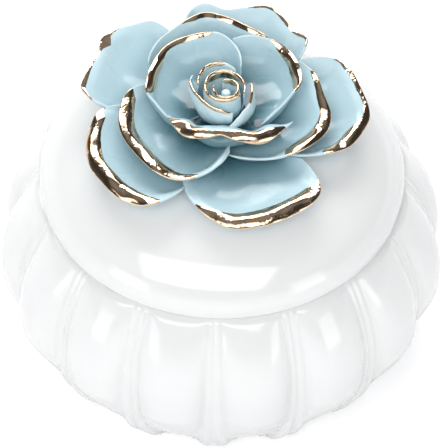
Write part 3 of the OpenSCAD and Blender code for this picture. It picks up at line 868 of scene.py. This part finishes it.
def clay_petal(name, face, direction, thickness, edge_thickness, stroke, seed, deepest=1.0):
    """A solid petal under its upper face, with a rounded rim, thinned sides and its marks."""
    along = np.gradient(face, axis=0)
    outward = np.gradient(face, axis=1)
    upward = np.cross(outward, along)
    upward /= np.linalg.norm(upward, axis=2, keepdims=True)
    outward /= np.linalg.norm(outward, axis=2, keepdims=True)
    climb = run_lengths(face, 1)
    to_rim = climb[:, -1:] - climb
    across = run_lengths(face, 0)
    to_side = np.minimum(across, across[-1:] - across)
    share = np.linspace(0, 1, face.shape[1])[None, :]
    body = thickness + (edge_thickness - thickness) * share**3
    tapered = body * (1 - side_thinning + side_thinning * ease(to_side / side_thinning_width))
    round_side = np.sqrt(1 - (1 - np.clip(to_side / side_round, 0, 1)) ** 2)
    thick = tapered * np.maximum(round_side, thinnest_side)
    sweep = np.radians(direction)[:, None]
    thumb = hand_wobble(seed + 7, sweep * 4 + climb * 0.35, (1.0, 2.3)) * thumb_depth
    thumb = thumb * ease(climb / 6) * ease(to_rim / 2)
    flattened = 0.5 * (body - thick) * (to_side < flattened_side)
    face = face + upward * (thumb - flattened)[..., None]
    below = face - upward * thick[..., None]
    nose = []
    for t in np.radians(np.linspace(0, 180, 9)[1:-1]):
        middle = (face[:, -1] + below[:, -1]) / 2
        half = thick[:, -1:] / 2
        nose.append(middle + half * (math.cos(t) * upward[:, -1] + math.sin(t) * outward[:, -1]))
    nose = np.stack(nose, 1)
    petal = skin(name, np.concatenate([face, nose, below[:, ::-1]], axis=1), ends="pairs")
    width = np.interp(direction, [d for d, _ in stroke], [w for _, w in stroke])[:, None]
    nose_zero = np.zeros(nose.shape[:2])
    on_top = width - to_rim
    on_nose = np.minimum(width, gold_over_nose) + nose_zero
    beneath = (np.minimum(width, gold_underneath) - to_rim)[:, ::-1]
    gilt = np.concatenate([on_top, on_nose, beneath], axis=1)
    gilt = np.where(width > 0, gilt, off_gold)
    nearest = np.minimum(to_rim, to_side)
    edge = np.concatenate([nearest, nose_zero, nearest[:, ::-1]], axis=1)
    # Painted shade and pooled glaze: darker from the rim towards the root, and never lighter than a set
    # shade on the underside.
    sunk = ease(to_rim / np.maximum(climb[:, -1:], 1)) * deepest
    pool_and_shade = np.concatenate([sunk, nose_zero, np.maximum(sunk, shade_underneath)[:, ::-1]], axis=1)
    mark(petal, "gilt_mm", gilt)
    mark(petal, "edge_mm", edge)
    mark(petal, "pool_and_shade", pool_and_shade)
    return petal


def make_open_petals(tier, root, first_seed):
    for seed, (node, (leave, arrive, lip, rim, stroke)) in enumerate(tier.items(), first_seed):
        belly = front_belly if node == folded_petal else 0
        if node != folded_petal:
            lip = lip * lip_spread
            rim = [(*place[:3], place[3] * lip_ease) for place in rim]
            stroke = [(way, width * brush_spread) for way, width in stroke]
        face, direction = petal_face(root, leave, arrive, lip, rim, seed, belly=belly)
        petal = clay_petal(node.replace("petal", "rose_petal"), face, direction, petal_thickness,
                           rim_thickness, stroke, seed)
        join_lid(petal, node, petal_glaze)


make_open_petals(outer_petals, (6, outer_root), 10)
make_open_petals(middle_petals, (5.6, middle_root), 20)
make_open_petals(inner_petals, (4.6, inner_root), 30)

# ---------------------------------------------------------------- bud
# Three thin petals wrapped round two rolled strips of clay and a small rolled core. They
# are pinched together at the bottom, pushed into the pad, and gilded along their tops.
bud_thickness = 0.8
scroll_thickness = 0.75
scroll_rim_thickness = 0.55
core_radius = 1.1
bud_petals = {
    "bud_petal_1": ((5, bud_root), 60, 100, 0.7, [
        (150, 7.9, 12.3, 0), (166, 7.4, 12.4, 20), (190, 6.2, 12.1, 40), (220, 5.6, 12.1, 40),
        (250, 6, 12.1, 40), (275, 6.8, 12.1, 20), (290, 7.2, 11.4, 0)],
        [(160, 0), (168, 0.6), (280, 0.6), (287, 0)]),
    "bud_petal_2": ((6.1, bud_root), 50, 95, 0.7, [
        (272, 9, 7.8, 0), (290, 8.6, 10, 0), (308, 8, 11.7, 0), (330, 7.4, 12.7, 40),
        (350, 6.6, 13.3, 40), (368, 6.2, 13.3, 0)],
        [(322, 0), (332, 0.6), (368, 0.6)]),
    "bud_petal_3": ((4.9, bud_root), 60, 95, 0.7, [
        (64, 5.9, 12.7, 0), (90, 6.8, 13.3, 40), (118, 7, 13.5, 60), (140, 6.4, 13.4, 60),
        (158, 5.8, 13.1, 40), (172, 5.3, 12.7, 0)],
        [(86, 0), (94, 0.7), (168, 0.7), (172, 0.4)]),
}
scrolls = {
    "bud_scroll_outer": ((3.4, scroll_root), 68, 95, 0.7, [
        (-20, 4.5, 13, 60), (20, 4.4, 13.2, 70), (60, 4.4, 13.3, 70), (100, 4.5, 13.5, 70),
        (140, 4.5, 13.4, 60), (180, 4.4, 13.2, 60), (220, 4.4, 13, 70), (260, 4.3, 13, 70),
        (300, 4.2, 13, 60), (330, 4.1, 13, 40)],
        [(-20, 0.9), (30, 1.1), (60, 2.2), (130, 2.4), (165, 1.2), (330, 0.8)], (0.5, 0)),
    "bud_scroll_inner": ((1.9, scroll_root), 76, 95, 0.5, [
        (160, 2.7, 12.8, 40), (200, 2.7, 12.8, 40), (240, 2.6, 12.6, 40), (280, 2.6, 12.6, 40),
        (320, 2.6, 12.7, 40), (360, 2.5, 12.9, 40), (400, 2.5, 13, 50), (440, 2.4, 13, 50),
        (470, 2.2, 12.9, 30)],
        [(160, 0.6), (380, 0.7), (420, 1.5), (455, 1.5), (470, 0.6)], (0.8, -0.3)),
}


def make_bud():
    for seed, (node, (root, leave, arrive, lip, rim, stroke)) in enumerate(bud_petals.items(), 40):
        face, direction = petal_face(root, leave, arrive, lip, rim, seed, columns=52, wobble=0.6)
        petal = clay_petal(node + "_wrapped", face, direction, bud_thickness, rim_thickness,
                           stroke, seed, deepest=0.7)
        join_lid(petal, node, bud_glaze)
    for seed, (node, (root, leave, arrive, lip, rim, stroke, centre)) in enumerate(scrolls.items(), 60):
        face, direction = petal_face(root, leave, arrive, lip, rim, seed, centre, 120, 0.5)
        strip = clay_petal(node + "_rolled", face, direction, scroll_thickness,
                           scroll_rim_thickness, stroke, seed, deepest=0.6)
        join_lid(strip, node, bud_glaze)


def make_core():
    low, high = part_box("bud_core")
    middle = (low + high) / 2 / MM
    foot, top = low.z / MM, high.z / MM
    climb = top - foot - 0.6
    angles = np.linspace(0, 2 * math.pi, 48, endpoint=False)
    line = [(0.5, foot), (core_radius + 0.3, foot)]
    line += [(core_radius + 0.25 * (1 - t), foot + climb * t) for t in np.linspace(0.1, 1, 12)]
    line += rounded_corner(core_radius - 0.5, top - 0.5, 0.5, 20, 90)
    line += [(0.3, top)]
    rings = []
    for r, z in line:
        fold = 1 - 0.08 * np.exp(-((angles - 2.0) / 0.25) ** 2)
        rings.append(ring_of(angles, r * fold, z) + (middle.x, middle.y, 0))
    core = skin("bud_core_rolled", rings)
    # Painted shade and pooled glaze: the core in the middle of the bud is darkened part way to the bud's
    # deep colour.
    mark(core, "pool_and_shade", [0.55])
    mark(core, "edge_mm", [off_edge])
    mark(core, "gilt_mm", [off_gold])
    join_lid(core, "bud_core", bud_glaze)


make_bud()
make_core()
